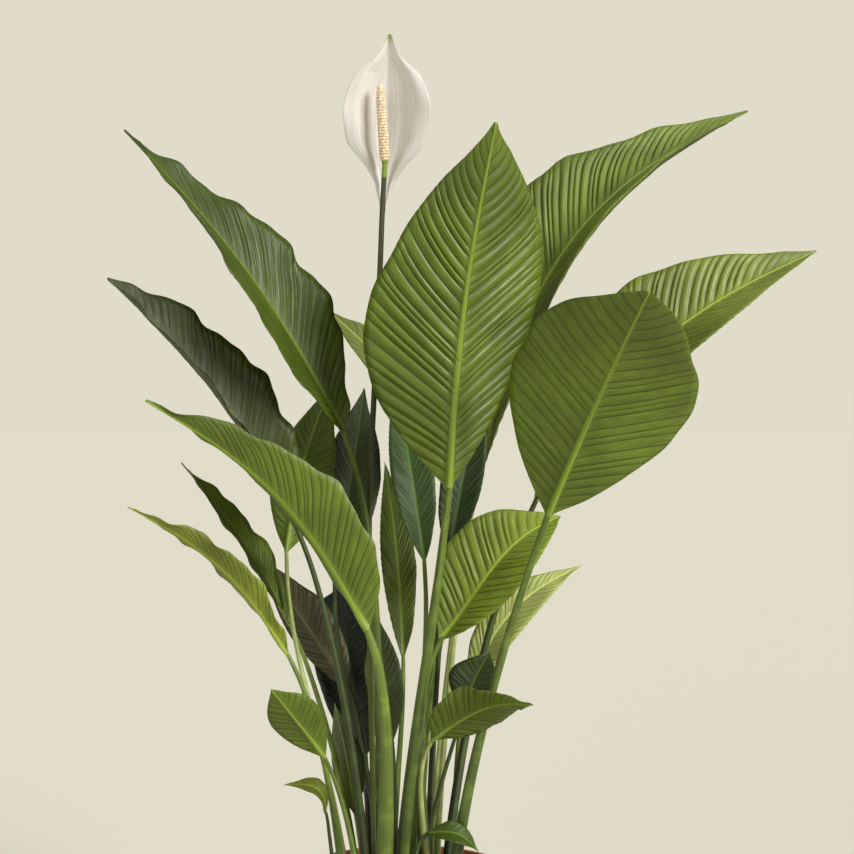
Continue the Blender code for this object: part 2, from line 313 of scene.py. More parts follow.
bpy.ops.object.join()
crumb_bed = bpy.context.object
crumb_bed.data.materials.append(soil_material("bark_crumbs", (58, 40, 27), (128, 98, 70)))
settle(crumb_bed, "bark_crumb_scatter", "potting_mix")


# ---- Leaf stalks ----
# Each leaf stands on its own green stalk, oval, grooved down its inner side, and widened low down
# into a sheath. A stalk is a closed tube laid along its CAD rod, from under the soil into the midrib.

blade_stations = 13          # cross-sections of a CAD blade
blade_corners = 10           # corners of each: five across, on both faces
stalk_corners = 8
stalk_sides = 20
stalk_rings = 60
set_deep = 0.004             # how far a stalk goes on below its CAD rod
point_reach = 0.0016         # a section smaller than this is a blade's very tip


def corners_in_order(node, start, count):
    """The CAD node's corners, split into cross-sections, in order from the end nearest start."""
    points = np.array([v.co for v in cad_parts[node].data.vertices])
    points = np.unique(np.round(points, 6), axis=0)
    near = points[np.argmin(np.linalg.norm(points - start, axis=1))]
    far = points[np.argmax(np.linalg.norm(points - near, axis=1))]
    for _ in range(2):       # the second pass sorts along the line between the end sections' middles
        order = np.argsort((points - near) @ (far - near))
        sections = points[order].reshape(-1, count, 3)
        near, far = sections[0].mean(0), sections[-1].mean(0)
    return sections


def through(points, parts):
    """Points on a smooth curve through evenly spaced ones, at parts from 0 to 1."""
    last = len(points) - 1
    ends = np.concatenate([[2 * points[0] - points[1]], points, [2 * points[-1] - points[-2]]])
    place = np.clip(np.asarray(parts) * last, 0, last - 1e-9)
    index = place.astype(int)
    share = (place - index).reshape(-1, *[1] * (points.ndim - 1))
    before, start, stop, after = (ends[index + k] for k in range(4))
    slope = stop - before
    bend = 2 * before - 5 * start + 4 * stop - after
    twist = 3 * start - before - 3 * stop + after
    return 0.5 * (2 * start + slope * share + bend * share ** 2 + twist * share ** 3)


def unit(vectors):
    """Vectors made one long."""
    return vectors / np.maximum(np.linalg.norm(vectors, axis=-1, keepdims=True), 1e-12)


def lay_grid(name, across, along, place, maps):
    """A grid primitive laid on a table of positions, with UV maps of the same layout.

    It gives the mesh object, then the table's row and column that each vertex took its place from.
    """
    start_clean()
    bpy.ops.mesh.primitive_grid_add(x_subdivisions=across, y_subdivisions=along, size=1)
    sheet = bpy.context.object
    sheet.name = name
    mesh = sheet.data
    flat = np.zeros(len(mesh.vertices) * 3)
    mesh.vertices.foreach_get("co", flat)
    flat = flat.reshape(-1, 3)
    column = np.rint((flat[:, 0] + 0.5) * across).astype(int)
    row = np.rint((flat[:, 1] + 0.5) * along).astype(int)
    mesh.vertices.foreach_set("co", place[row, column].ravel())
    corner = np.zeros(len(mesh.loops), dtype=int)
    mesh.loops.foreach_get("vertex_index", corner)
    for layer in list(mesh.uv_layers):
        mesh.uv_layers.remove(layer)
    for map_name, values in maps.items():
        layer = mesh.uv_layers.new(name=map_name)
        layer.data.foreach_set("uv", values[row, column][corner].astype(np.float32).ravel())
    mesh.update()
    return sheet, row, column


def make_tube(name, line, radii, side_shape, inner_side):
    """A closed tube round a line; side_shape(angles, parts) scales its radius, and 0 faces inner_side."""
    rings = len(line)
    ahead = unit(np.gradient(line, axis=0))
    inner = unit(inner_side - ahead * np.sum(ahead * inner_side, axis=1, keepdims=True))
    beside = np.cross(ahead, inner)
    angles = np.linspace(0, 2 * math.pi, stalk_sides + 1)
    parts = np.linspace(0, 1, rings)
    shape = radii[:, None] * side_shape(angles[None, :], parts[:, None])
    place = (line[:, None, :] + inner[:, None, :] * (np.cos(angles) * shape)[..., None]
             + beside[:, None, :] * (np.sin(angles) * shape)[..., None])
    steps = np.concatenate([[0], np.cumsum(np.linalg.norm(np.diff(line, axis=0), axis=1))])
    fibre = np.stack(np.broadcast_arrays(angles[None, :] / (2 * math.pi), steps[:, None]), axis=-1)
    tube = lay_grid(name, stalk_sides, rings - 1, place, {"fibre": fibre})[0]
    bpy.ops.object.mode_set(mode="EDIT")
    bpy.ops.mesh.select_all(action="SELECT")
    bpy.ops.mesh.remove_doubles(threshold=1e-6)
    bpy.ops.mesh.select_all(action="DESELECT")
    bpy.ops.mesh.select_non_manifold()
    bpy.ops.mesh.edge_face_add()
    bpy.ops.mesh.select_all(action="SELECT")
    bpy.ops.mesh.normals_make_consistent(inside=False)
    bpy.ops.object.mode_set(mode="OBJECT")
    return tube


def round_shape(angles, parts):
    """A section that is a plain circle all the way along."""
    return np.ones(np.broadcast_shapes(angles.shape, parts.shape))


def sheath_shape(angles, parts):
    """A stalk's section: oval and grooved where it is a sheath, low down, and round near its blade."""
    sheath = np.clip((0.62 - parts) / 0.3, 0, 1)
    fold = np.minimum(angles, 2 * math.pi - angles)
    groove = np.exp(-(fold / 0.42) ** 2)
    lips = np.exp(-((fold - 0.95) / 0.28) ** 2)
    return 1 + sheath * (0.16 * lips - 0.42 * groove) - 0.10 * (1 - sheath) * groove


def stalk_material(name, low, high):
    """Smooth stalk green, one tint at its foot and another at its top, the darker end being painted shade,
    with fine fibres along it and a satin skin.
    """
    made, tree, shader = shader_of(name, linear(*low), 0.4)
    fibre = add_node(tree, "ShaderNodeUVMap", {"uv_map": "fibre"})
    axes = add_node(tree, "ShaderNodeSeparateXYZ", Vector=fibre.outputs["UV"])
    stretch = add_node(tree, "ShaderNodeMapping", Vector=fibre.outputs["UV"])
    stretch.inputs["Scale"].default_value = (26, 9, 1)
    strands = add_node(tree, "ShaderNodeTexNoise", Vector=stretch.outputs["Vector"], Scale=1.0, Detail=3.0)
    mottle = add_mottle(tree, 55.0, 900.0)
    # Painted shade: the green changes along the stalk, darker where shade falls, at the crowded foot of a
    # leaf stalk and at the top of the flower stalk.
    shade_along_stalk = mix_colours(tree, spread(tree, axes.outputs["Y"], 0.05, 0.3, 0, 1), linear(*low), linear(*high))
    dark = mix_colours(tree, spread(tree, strands.outputs["Fac"], 0.38, 0.66, 0.5, 0), shade_along_stalk,
                       linear(*(0.62 * value for value in low)))
    pale = mix_colours(tree, spread(tree, mottle.outputs["Blotch"], 0.45, 0.75, 0, 0.35), dark,
                       linear(*(min(1.35 * value, 240) for value in high)))
    tree.links.new(pale, shader.inputs["Base Color"])
    tree.links.new(spread(tree, strands.outputs["Fac"], 0.3, 0.7, 0.34, 0.5), shader.inputs["Roughness"])
    bump = add_node(tree, "ShaderNodeBump", Height=strands.outputs["Fac"], Strength=0.5, Distance=0.0006)
    tree.links.new(bump.outputs["Normal"], shader.inputs["Normal"])
    return made


# The dark tone, given to the stalks of the inner and shaded leaves, is partly their own deeper green and
# partly painted shade among the crowded stalks.
stalk_greens = {
    "mid": stalk_material("stalk_green", (92, 110, 32), (114, 134, 44)),
    "deep": stalk_material("stalk_deep_green", (70, 86, 22), (98, 116, 36)),
    "dark": stalk_material("stalk_dark_green", (46, 58, 12), (60, 74, 18)),
    "pale": stalk_material("stalk_pale_green", (150, 162, 88), (176, 188, 112)),
}
stalk_tones = {
    "front_tall": "deep", "mid_right": "deep", "right_round": "deep", "upper_left": "deep",
    "far_right": "dark", "dark_left": "dark", "shaded_left": "dark",
    "shaded_middle": "dark", "dark_middle": "dark", "rim_left": "dark", "rim_right": "dark",
    "small_right": "dark", "inner_left": "dark", "centre_right": "dark",
    "upper_right": "pale", "mid_left": "pale", "low_right": "pale",
}
leaf_names = sorted(node[len("leaf_"):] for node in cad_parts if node.startswith("leaf_"))
neck_radius = {}
neck_place = {}


def blade_lines(node, neck):
    """A CAD blade's two edges and its midrib, station by station, and the side its upper face is on."""
    sections = corners_in_order(node, neck, blade_corners)
    along = unit(sections[-1].mean(0) - sections[0].mean(0))
    middle = sections[blade_stations // 2]
    spread_axis = np.linalg.svd(middle - middle.mean(0))[2][0]
    pairs = middle[np.argsort(middle @ spread_axis)].reshape(-1, 2, 3).mean(1)
    upper = unit((pairs[0] + pairs[-1]) / 2 - pairs[2])
    across = np.cross(along, upper)
    edges = []
    for section in sections:
        axis = np.linalg.svd(section - section.mean(0))[2][0]
        axis = axis * np.sign(axis @ across)
        if np.linalg.norm(section - section.mean(0), axis=1).max() < point_reach:
            axis = across
        pairs = section[np.argsort(section @ axis)].reshape(-1, 2, 3).mean(1)
        edges.append(pairs[[0, 2, 4]])
        across = unit(0.5 * across + 0.5 * axis)
    edges = np.array(edges)
    return edges[:, 0], edges[:, 1], edges[:, 2]


for leaf in leaf_names:
    rings = corners_in_order("stalk_" + leaf, np.array([0, 0, 0]), stalk_corners)
    centres = np.delete(rings.mean(1), 1, axis=0)
    ring_radii = np.delete(np.linalg.norm(rings - rings.mean(1, keepdims=True), axis=2).mean(1), 1)
    left, rib, right = blade_lines("leaf_" + leaf, centres[-1])
    neck_radius[leaf] = ring_radii[-1]
    neck_place[leaf] = centres[-1]

    # The stalk runs on under the blade and ends inside its midrib, thinner ring by ring.
    below = -unit((left + right) / 2 - rib)[2] * ring_radii[-1]
    joined = rib[0] + below * 0.55
    buried = rib[0] + (rib[1] - rib[0]) * 0.35 + below * 0.6
    parts = np.linspace(0, 1, stalk_rings - 3)
    line = through(np.concatenate([centres[:-1], [joined]]), parts)
    line = np.concatenate([[line[0] - (0, 0, set_deep)], line, [(joined + buried) / 2, buried]])
    taper = np.interp(np.linspace(0, 1, len(line)), np.linspace(0, 1, len(ring_radii)), ring_radii)
    taper[-2:] *= (0.85, 0.55)
    inward = np.array([-centres[0][0], -centres[0][1] + 0.001, 0.0])
    tube = make_tube("stalk_tube_" + leaf, line, taper, sheath_shape, np.broadcast_to(inward, line.shape))
    tube.data.materials.append(stalk_greens[stalk_tones.get(leaf, "mid")])
    bpy.ops.object.shade_smooth()
    settle(tube, "petiole_" + leaf, "leaf_stalk", "stalk_" + leaf)


# ---- Leaf blades ----
# A thin ribbed blade: the midrib stands proud underneath, side veins sweep from it to the edge and
# pleat the blade, and the edge ripples. Each is a grid whose rows follow the veins, laid over its CAD
# blade, and given its thickness.

rows_per_vein = 8
column_step = 0.0042
lamina = 0.00042             # thickness of a blade between its veins
box_margin = 0.0009
wave_turn = 6.28             # one wave of an edge, in radians
millimetre = 0.001
tip_widening = 0.8           # under 1, the veins leave the midrib wider apart towards the tip
rib_crowding = 1.35          # over 1, the columns stand closer towards the midrib
cupping = 1.3                # over 1, the blade is flatter at its midrib than a plain V
foot_fade = 0.05             # shares of a blade's length over which its shaping dies away
tip_fade = 0.07
pleat_fade = 0.22
rib_clear = 0.0012           # the pleats begin this far from the midrib
rib_blend = 0.006            # and come to their full depth over this width
edge_blend = 0.22            # share of the half width over which they flatten to the edge
channel_depth = 0.6          # millimetres that the upper face is sunk along the midrib
channel_reach = 0.0022
vein_ridge = 0.0004
upper_roughness = 0.44
under_roughness = 0.36
brightest = 250              # the most that a lightened tint may come to


def build_vein_marks():
    """Where a blade's veins are, from its vein map: U counts side veins, V is midrib widths from it."""
    tree = bpy.data.node_groups.new("vein_marks", "ShaderNodeTree")
    group_socket(tree, "Vein Width", "INPUT", value=0.14)
    for name in ("Vein", "Fine", "Rib", "Streak"):
        group_socket(tree, name, "OUTPUT")
    taken = add_node(tree, "NodeGroupInput")
    veins = add_node(tree, "ShaderNodeUVMap", {"uv_map": "veins"})
    axes = add_node(tree, "ShaderNodeSeparateXYZ", Vector=veins.outputs["UV"])
    vein = add_node(tree, "ShaderNodeMath", {"operation": "PINGPONG"}, i0=axes.outputs["X"], i1=0.5)
    part = add_node(tree, "ShaderNodeMath", {"operation": "DIVIDE"}, i0=vein.outputs[0],
                    i1=taken.outputs["Vein Width"])
    times = add_node(tree, "ShaderNodeMath", {"operation": "MULTIPLY"}, i0=axes.outputs["X"], i1=5.0)
    fine = add_node(tree, "ShaderNodeMath", {"operation": "PINGPONG"}, i0=times.outputs[0], i1=0.5)
    reach = add_node(tree, "ShaderNodeMath", {"operation": "ABSOLUTE"}, i0=axes.outputs["Y"])
    stretch = add_node(tree, "ShaderNodeMapping", Vector=veins.outputs["UV"])
    stretch.inputs["Scale"].default_value = (4.0, 0.12, 1)
    streak = add_node(tree, "ShaderNodeTexNoise", Vector=stretch.outputs["Vector"], Scale=1.0, Detail=2.0)
    out = add_node(tree, "NodeGroupOutput")
    tree.links.new(spread(tree, part.outputs[0], 0.0, 1.0, 1, 0), out.inputs["Vein"])
    tree.links.new(spread(tree, fine.outputs[0], 0.0, 0.4, 1, 0), out.inputs["Fine"])
    tree.links.new(spread(tree, reach.outputs[0], 0.75, 1.5, 1, 0), out.inputs["Rib"])
    tree.links.new(streak.outputs["Fac"], out.inputs["Streak"])
    return tree


vein_group = build_vein_marks()


def blade_material(name, green, streak, vein_tint_and_groove_shade, rib, roughness):
    """A leaf face: green in slow patches, its veins a tint apart (on an upper face, painted shade in the
    vein grooves), its midrib paler, and a waxy shine.
    """
    made, tree, shader = shader_of(name, linear(*green), roughness)
    marks = add_node(tree, "ShaderNodeGroup", {"node_tree": vein_group})
    shader.inputs["Specular IOR Level"].default_value = 0.38
    mottle = add_mottle(tree, 16.0, 700.0)
    deep = linear(*(0.84 * value for value in green))
    bright = linear(*(min(1.10 * value + 3, brightest) for value in green))
    patches = mix_colours(tree, spread(tree, mottle.outputs["Blotch"], 0.3, 0.7, 0, 1), deep, bright)
    streaked = mix_colours(tree, spread(tree, marks.outputs["Streak"], 0.35, 0.7, 0, 0.5),
                           patches, linear(*streak))
    # On an upper face the vein tint is painted shade that darkens the grooves the veins lie in; on an under
    # face it is the veins' own paler green.
    veins_and_groove_shade = mix_colours(tree, spread(tree, marks.outputs["Vein"], 0, 1, 0, 0.6),
                         streaked, linear(*vein_tint_and_groove_shade))
    ribbed = mix_colours(tree, marks.outputs["Rib"], veins_and_groove_shade, linear(*rib))
    tree.links.new(ribbed, shader.inputs["Base Color"])
    tree.links.new(spread(tree, marks.outputs["Streak"], 0.3, 0.7, roughness - 0.05, roughness + 0.08),
                   shader.inputs["Roughness"])
    fine = add_node(tree, "ShaderNodeBump", Height=marks.outputs["Fine"], Strength=0.3, Distance=0.0003)
    skin = add_node(tree, "ShaderNodeBump", Height=mottle.outputs["Grain"], Strength=0.2, Distance=0.0003,
                    Normal=fine.outputs["Normal"])
    tree.links.new(skin.outputs["Normal"], shader.inputs["Normal"])
    return made


# Each leaf's greens above and below, its pleats' depth and its side veins' spacing, how far its veins
# sweep towards the tip, its edge's ripple and the length of one wave, and how much its tip is drawn in.
# Depths, spacings and lengths are in millimetres. A streak is a colour that runs along the under face.
common_leaf = dict(upper=(92, 110, 24), under=(126, 136, 48), pleat=0.9, spacing=7.0, sweep=0.9,
                   ripple=1.4, wave=46, pinch=0.5)
leaf_looks = {
    "front_tall": dict(under=(172, 186, 88), pleat=-2.4, spacing=8.4, sweep=1.15, ripple=1.6, wave=80),
    "right_round": dict(under=(122, 132, 31), pleat=-0.9, spacing=8.8, sweep=0.85, ripple=2.4, wave=66,
                        pinch=0.1, streak=(112, 92, 34)),
    "upper_right": dict(upper=(112, 130, 38), under=(168, 184, 48), pleat=2.8, spacing=8.6, sweep=1.0,
                        ripple=2.2, wave=70),
    "far_right": dict(upper=(124, 138, 50), under=(160, 172, 71), pleat=2.2, spacing=8.0, sweep=0.9,
                      wave=66),
    "upper_left": dict(upper=(68, 84, 12), under=(120, 132, 41), pleat=1.3, spacing=8.0, sweep=1.2,
                       ripple=3.0, wave=46),
    "dark_left": dict(upper=(62, 72, 15), under=(104, 114, 30), pleat=1.0, spacing=7.0, ripple=3.0,
                      wave=42, pinch=0.0),
    "front_left": dict(under=(134, 138, 41), pleat=-0.7, spacing=7.0, sweep=1.1, ripple=2.4, wave=48),
    "narrow_left": dict(upper=(88, 104, 22), pleat=0.5, spacing=6.0, ripple=2.0, wave=34),
    "lowest_left": dict(under=(142, 150, 42), upper=(116, 128, 34), pleat=-0.5, spacing=6.0, ripple=2.2,
                        wave=34),
    "inner_left": dict(upper=(66, 62, 23), under=(62, 58, 23), pleat=-0.9, spacing=6.0),
    "mid_left": dict(under=(88, 102, 15), pleat=0.7, spacing=6.5),
    "dark_middle": dict(upper=(50, 62, 11), pleat=0.9, spacing=6.0),
    "back_left": dict(upper=(112, 124, 53), pleat=0.6),
    "centre_left": dict(upper=(60, 84, 29), pleat=0.9, spacing=6.0),
    "centre_right": dict(upper=(50, 70, 27), pleat=0.9, spacing=6.0),
    "mid_right": dict(upper=(128, 146, 42), pleat=2.3, spacing=7.0, wave=50),
    "pale_right": dict(upper=(170, 180, 96), under=(176, 184, 104), pleat=0.7, spacing=6.0),
    "small_right": dict(upper=(46, 62, 8), pleat=0.8, spacing=5.0),
    "low_right": dict(under=(112, 124, 26), pleat=-1.0, spacing=6.0, ripple=1.8, wave=32),
    "rim_right": dict(upper=(62, 82, 10), pleat=0.4, spacing=4.5, ripple=0.7, wave=22),
    "low_left": dict(under=(160, 170, 64), pleat=-0.7, spacing=5.5, ripple=0.8, wave=30),
    "rim_left": dict(upper=(86, 96, 20), pleat=0.3, spacing=4.5, ripple=0.6, wave=20),
    # Painted shade: shaded_left's upper green is darkened almost to black for the shade it stands in.
    "shaded_left": dict(upper=(18, 28, 4), pleat=1.0),
    "shaded_middle": dict(upper=(66, 78, 30), pleat=0.8),
    "back_middle": dict(upper=(98, 114, 34), pleat=1.3, spacing=6.0),
    "young_left": dict(upper=(66, 78, 16), pleat=0.4, spacing=5.0),
    "back_arching": dict(upper=(98, 116, 27), pleat=1.4),
}


def inside_box(places):
    """Places held within the CAD box, so that a blade's ripple never stands past it."""
    return np.clip(places, np.array(cad_box[0]) + box_margin, np.array(cad_box[1]) - box_margin)


def laid(line, places):
    """A CAD blade's line, read at places from 0 to 1 in a table of any shape."""
    return through(line, places.ravel()).reshape(*places.shape, 3)


def blade_surface(lines, place, side):
    """The sheet through a CAD blade's edges and midrib, with its upward side and distance from the rib."""
    left, rib, right = (laid(line, place) for line in lines)
    step = 0.01
    above, below = np.clip(place + step, 0, 1), np.clip(place - step, 0, 1)
    ahead = unit(laid(lines[1], above) - laid(lines[1], below))
    across = unit(right - left)
    upper = unit(np.cross(across, ahead))
    edge = np.where(side[..., None] < 0, left, right) - rib
    lift = np.sum(edge * upper, axis=2, keepdims=True) * upper
    reach = np.abs(side)[..., None]
    flat = (edge - lift) * reach
    return rib + flat + lift * reach ** cupping, flat, upper, np.linalg.norm(flat, axis=2)


for number, leaf in enumerate(leaf_names):
    look = {**common_leaf, **leaf_looks[leaf]}
    shift = 1.7 * number
    lines = blade_lines("leaf_" + leaf, neck_place[leaf])

    # The grid: its rows run as the side veins do, swept towards the tip on their way to the edge.
    length = np.linalg.norm(np.diff(lines[1], axis=0), axis=1).sum()
    width = np.linalg.norm(lines[2] - lines[0], axis=1).max()
    vein_total = max(int(length / look["spacing"] / millimetre), 6)
    rows = vein_total * rows_per_vein
    columns = 2 * max(int(width / column_step / 2 + 1), 6)
    count_part = np.linspace(0, 1, rows + 1)[:, None]
    start = 1 - (1 - count_part) ** tip_widening
    drift = np.sin(count_part * vein_total * 1.9 + shift) + np.sin(count_part * vein_total * 0.63 + 1)
    start = start + 0.22 * drift * np.sin(math.pi * count_part) / vein_total
    even = np.linspace(-1, 1, columns + 1)
    side = np.sign(even) * np.abs(even) ** rib_crowding
    side = np.broadcast_to(side[None, :], (rows + 1, columns + 1))
    outward = np.abs(side)
    swing = look["sweep"] * (0.8 * outward + 0.2 * outward ** 2) * (1 - 0.7 * start)
    place = 1 - (1 - start) ** (1 + swing)
    surface, flat, upper, beside = blade_surface(lines, place, side)

    # The edge: three waves of unlike lengths ripple it, and its last part is drawn in to the tip.
    waves = wave_turn * (place * length / (look["wave"] * millimetre) + shift + 0.31 * np.sign(side))
    uneven = np.sin(waves) * 0.5 + np.sin(waves * 0.57 + 2 + shift) * 0.6
    uneven = uneven + np.sin(waves * 1.83 + shift) * 0.25
    ends = np.clip(place / foot_fade, 0, 1) * np.clip((1 - place) / tip_fade, 0, 1)
    pinch = look["pinch"] * np.clip((place - 0.93) / 0.07, 0, 1) ** 1.2
    surface = surface + flat * (0.014 * look["ripple"] * uneven * outward ** 2 * ends - pinch)[..., None]

    # The pleats: a fold between each pair of side veins, fading at the rib, the edge and the tip.
    near_rib = np.clip((beside - rib_clear) / rib_blend, 0, 1)
    from_edge = np.clip((1 - outward) / edge_blend, 0.15, 1)
    to_tip = np.clip((1 - place) / pleat_fade, 0, 1)
    vein_count = count_part * vein_total + 0.5 * (side > 0)
    strength = 1 + 0.25 * np.sin(vein_count * 2.4 + shift) + 0.2 * np.sin(vein_count * 0.7 + shift * 2)
    pleat = (np.abs(np.sin(math.pi * vein_count)) ** 0.85 - 0.5) * look["pleat"] * strength
    narrow = np.clip(beside / np.maximum(outward, 0.02) / (0.25 * width), 0, 1)
    pleated = pleat * near_rib * from_edge * ends * to_tip * narrow
    rippled = uneven * look["ripple"] * outward ** 2.4 * ends
    channel = channel_depth * np.exp(-(beside / channel_reach) ** 2) * (1 - place) * ends
    height = pleated + rippled - channel
    surface = inside_box(surface + upper * height[..., None] * millimetre)

    # The thickness: thin between the veins, with the midrib standing proud underneath.
    rib_reach = neck_radius[leaf] * 0.72 * (1 - 0.82 * place) + 0.0002
    vein_map = np.stack(np.broadcast_arrays(vein_count, beside / rib_reach * np.sign(side)), axis=-1)
    blade, row, column = lay_grid("blade", columns, rows, surface, {"veins": vein_map})
    rib_depth = neck_radius[leaf] * 1.5 * (1 - 0.85 * place) ** 0.9
    bulge = np.exp(-(beside / rib_reach) ** 2)
    veins = vein_ridge * np.exp(-(np.abs(np.sin(math.pi * vein_count)) / 0.3) ** 2)
    depth = lamina + rib_depth * bulge + veins * near_rib * from_edge * ends * look["pleat"]
    deepest = depth.max()
    weights = blade.vertex_groups.new(name="depth")
    share = np.round(depth[row, column] / deepest, 2)
    for value in np.unique(share):
        weights.add(np.flatnonzero(share == value).tolist(), float(value), "REPLACE")
    thicken = blade.modifiers.new("thickness", "SOLIDIFY")
    thicken.thickness = float(deepest)
    thicken.offset = -1
    thicken.vertex_group = "depth"
    thicken.material_offset = 1
    thicken.material_offset_rim = 1
    bpy.ops.object.modifier_apply(modifier="thickness")

    # The tints of the rib, the veins and the streaks, worked out from the green of each face; the upper
    # face's dark vein tint is painted shade in the vein grooves.
    upper_rib = [min(1.20 * value + 14, brightest) for value in look["upper"]]
    red, green, blue = look["under"]
    under_rib = [min(1.10 * red + 16, brightest), min(1.10 * green + 16, brightest), 0.85 * blue]
    # Painted shade: the upper face's veins are darkened for the shade in their grooves.
    upper_groove_shade = [0.55 * value for value in look["upper"]]
    under_vein = [min(1.12 * value + 6, brightest) for value in look["under"]]
    upper_streak = [0.84 * value for value in look["upper"]]
    under_streak = look.get("streak", [0.84 * value for value in look["under"]])
    blade.data.materials.append(blade_material("upper_" + leaf, look["upper"], upper_streak, upper_groove_shade,
                                               upper_rib, upper_roughness))
    blade.data.materials.append(blade_material("under_" + leaf, look["under"], under_streak, under_vein,
                                               under_rib, under_roughness))
    bpy.ops.object.shade_smooth()
    settle(blade, "blade_" + leaf, "leaf_blade", "leaf_" + leaf)


# ---- Flower stalk ----
# One slender round stalk carries the flower, paler green below and darker above, the dark top being painted
# shade. It is a tube laid along its CAD rod, from under the soil to the foot of the spadix.

flower_steps = 120
flower_tail = 0.003          # how far it goes on into the spadix

flower_rings = corners_in_order("flower_stalk", np.array([0, 0, 0]), stalk_corners)
flower_radii = np.linalg.norm(flower_rings - flower_rings.mean(1, keepdims=True), axis=2).mean(1)
flower_line = through(flower_rings.mean(1), np.linspace(0, 1, flower_steps))
flower_end = flower_line[-1] + unit(flower_line[-1] - flower_line[-2]) * flower_tail
flower_line = np.concatenate([[flower_line[0] - (0, 0, set_deep)], flower_line, [flower_end]])
flower_radii = np.interp(np.linspace(0, 1, len(flower_line)), np.linspace(0, 1, len(flower_radii)),
                         flower_radii)
backward = np.array([0.0, 1.0, 0.0])
flower_tube = make_tube("flower_tube", flower_line, flower_radii, round_shape,
                        np.broadcast_to(backward, flower_line.shape))
# Painted shade: the darker green at the top of the flower stalk.
flower_tube.data.materials.append(stalk_material("flower_stalk_green", (112, 128, 42), (52, 54, 12)))
bpy.ops.object.shade_smooth()
settle(flower_tube, "flower_stem", "flower_stalk", "flower_stalk")


# ---- Spathe ----
# The white hood behind the spadix: one thin cupped sheet, finely lined from foot to tip, greenish at
# its tip and narrowing to a tail on the stalk. A fine grid over its CAD sheet, given its thickness.

spathe_rows = 150
spathe_columns = 56
spathe_thickness = 0.0005


def spathe_material():
    """Thin white tissue: fine lengthwise lines, faint cream patches, green at the tip."""
    made, tree, shader = shader_of("spathe_white", linear(236, 232, 224), 0.45)
    place = add_node(tree, "ShaderNodeUVMap", {"uv_map": "sheet"})
    axes = add_node(tree, "ShaderNodeSeparateXYZ", Vector=place.outputs["UV"])
    stretch = add_node(tree, "ShaderNodeMapping", Vector=place.outputs["UV"])
    stretch.inputs["Scale"].default_value = (34, 1.6, 1)
    lines = add_node(tree, "ShaderNodeTexNoise", Vector=stretch.outputs["Vector"], Scale=1.0, Detail=3.0)
    mottle = add_mottle(tree, 45.0, 700.0)
    lined = mix_colours(tree, spread(tree, lines.outputs["Fac"], 0.35, 0.7, 0, 0.8),
                        linear(220, 215, 207), linear(202, 193, 181))
    soft = mix_colours(tree, spread(tree, mottle.outputs["Blotch"], 0.35, 0.7, 0, 0.3), lined,
                       linear(206, 196, 180))
    green_tip = mix_colours(tree, spread(tree, axes.outputs["Y"], 0.94, 0.99, 0, 1), soft,
                            linear(150, 168, 96))
    green_foot = mix_colours(tree, spread(tree, axes.outputs["Y"], 0.0, 0.16, 0.35, 0), green_tip,
                             linear(206, 198, 172))
    tree.links.new(green_foot, shader.inputs["Base Color"])
    shader.inputs["Subsurface Weight"].default_value = 0.3
    shader.inputs["Subsurface Radius"].default_value = (1.0, 0.95, 0.85)
    shader.inputs["Subsurface Scale"].default_value = 0.003
    bump = add_node(tree, "ShaderNodeBump", Height=lines.outputs["Fac"], Strength=0.5, Distance=0.0004)
    tree.links.new(bump.outputs["Normal"], shader.inputs["Normal"])
    return made


spathe_lines = blade_lines("spathe", np.array(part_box("flower_stalk")[1]))
place, side = np.broadcast_arrays(np.linspace(0, 1, spathe_rows + 1)[:, None],
                                  np.linspace(-1, 1, spathe_columns + 1)[None, :])
surface, flat, upper = blade_surface(spathe_lines, place, side)[:3]
outward = np.abs(side)

# How far the sheet is pushed up or down, in millimetres, and the share by which it is narrowed.
body = np.clip(np.sin(math.pi * place ** 1.1), 0, 1)
flare = -9.0 * np.clip((outward - 0.5) / 0.5, 0, 1) ** 1.5 * body
hollow = -3.0 * np.exp(-((outward - 0.42) / 0.2) ** 2) * body
folds = 0.5 * np.sin(side * 9 + 0.6) * outward * body
frill = 1.1 * np.sin(place * 19 + side * 2) * outward ** 3
narrowing = 0.34 * np.clip((place - 0.78) / 0.1, 0, 1) - 0.12 * np.exp(-((place - 0.38) / 0.07) ** 2)
narrowing = narrowing - 1.5 * np.exp(-((place - 0.06) / 0.06) ** 2)
surface = surface - flat * narrowing[..., None]
surface = inside_box(surface + upper * (flare + hollow + folds + frill)[..., None] * millimetre)
sheet_map = np.stack([(side + 1) / 2, place], axis=-1)
spathe = lay_grid("spathe_sheet", spathe_columns, spathe_rows, surface, {"sheet": sheet_map})[0]
thicken = spathe.modifiers.new("thickness", "SOLIDIFY")
thicken.thickness = spathe_thickness
thicken.offset = 0
bpy.ops.object.modifier_apply(modifier="thickness")
spathe.data.materials.append(spathe_material())
bpy.ops.object.shade_smooth()
settle(spathe, "spathe_hood", "spathe", "spathe")


# ---- Spadix ----
# The finger of tiny cream flowers on a short green stipe. Its core is a tube along the CAD rod. Its
# florets are small blunt bumps set round the core, ring above ring, each ring turned from the last.

core_rings = 60
core_share = 0.84            # the core's radius under the florets, as a share of the CAD rod's
stipe_top = 2                # the CAD section where the stipe ends and the florets begin
around = 11                  # florets in the widest ring
step_up = 0.00225            # from one ring of florets to the next
floret_radii = (0.00118, 0.00108, 0.00095)
floret_sink = 0.0009

spadix_rings = corners_in_order("spadix", np.array(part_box("flower_stalk")[1]), stalk_corners)
spadix_line = spadix_rings.mean(1)
spadix_radii = np.linalg.norm(spadix_rings - spadix_rings.mean(1, keepdims=True), axis=2).mean(1)


